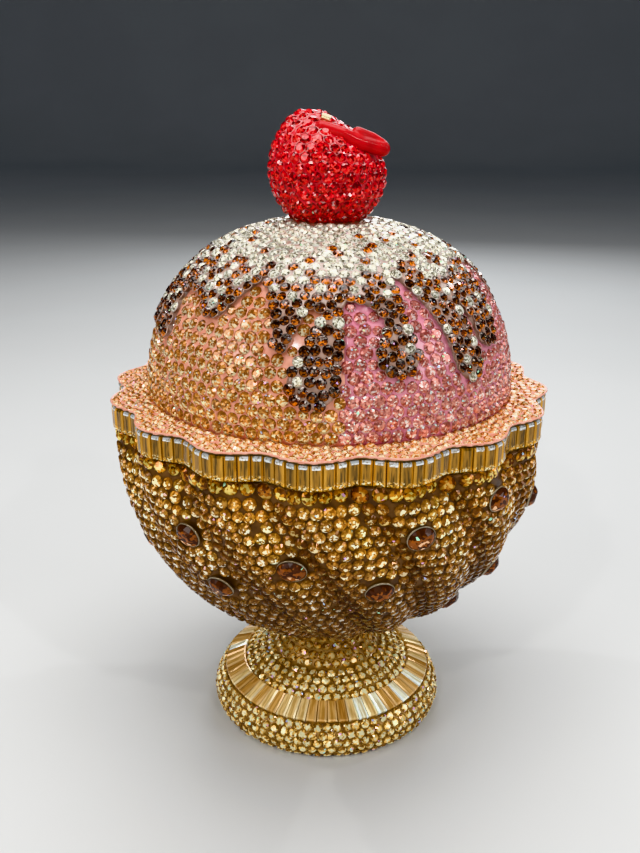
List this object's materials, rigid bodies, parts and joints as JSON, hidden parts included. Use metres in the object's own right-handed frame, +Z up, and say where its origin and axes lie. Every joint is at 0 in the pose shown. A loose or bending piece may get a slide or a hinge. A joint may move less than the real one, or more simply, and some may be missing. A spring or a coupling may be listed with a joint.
{
  "type": "crystal-covered ice cream sundae ornament",
  "caption": "Closed sundae ornament: swirl-fluted footed bowl, scalloped lip, two-flavour ice cream dome under a dripping topping, and a cherry with its stalk.",
  "frame": {"origin": "middle of the flat underside of the foot, on the surface the part stands on", "axes": "+Z up through the cherry; the side with the broad drip and the line between the flavours faces -Y"},
  "size_m": [0.1076, 0.1076, 0.1556],
  "materials": {
    "champagne_stones": "metal foot set all over with champagne stones",
    "champagne_baguettes": "foil-backed cut glass",
    "gold_stones": "metal bowl set all over with gold to bronze stones",
    "topaz_gems": "foil-backed cut glass",
    "amber_baguettes": "foil-backed cut glass",
    "lip_enamel": "peach enamel set with champagne stones",
    "peach_scoop": "peach enamel set with honey stones",
    "pink_scoop": "pink enamel set with rose stones",
    "topping_stones": "enamel set with clear and smoky topaz stones",
    "cherry_stones": "red enamel set with red stones",
    "red_enamel": "glossy red enamel",
    "pale_gold": "polished"
  },
  "bodies": {
    "root": {"baguette_band": "amber_baguettes", "bowl": "gold_stones", "bowl_gem_01": "topaz_gems", "bowl_gem_02": "topaz_gems", "bowl_gem_03": "topaz_gems", "bowl_gem_04": "topaz_gems", "bowl_gem_05": "topaz_gems", "bowl_gem_06": "topaz_gems", "bowl_gem_07": "topaz_gems", "bowl_gem_08": "topaz_gems", "bowl_gem_09": "topaz_gems", "bowl_gem_10": "topaz_gems", "bowl_gem_11": "topaz_gems", "bowl_gem_12": "topaz_gems", "bowl_gem_13": "topaz_gems", "bowl_gem_14": "topaz_gems", "bowl_gem_15": "topaz_gems", "bowl_gem_16": "topaz_gems", "bowl_gem_17": "topaz_gems", "bowl_gem_18": "topaz_gems", "bowl_gem_19": "topaz_gems", "bowl_gem_20": "topaz_gems", "bowl_gem_21": "topaz_gems", "bowl_gem_22": "topaz_gems", "cherry": "cherry_stones", "cherry_stalk": "red_enamel", "foot": "champagne_stones", "foot_baguette_ring": "champagne_baguettes", "ice_cream_peach": "peach_scoop", "ice_cream_pink": "pink_scoop", "lip": "lip_enamel", "stalk_pin": "pale_gold", "topping": "topping_stones"}
  },
  "joints": []
}
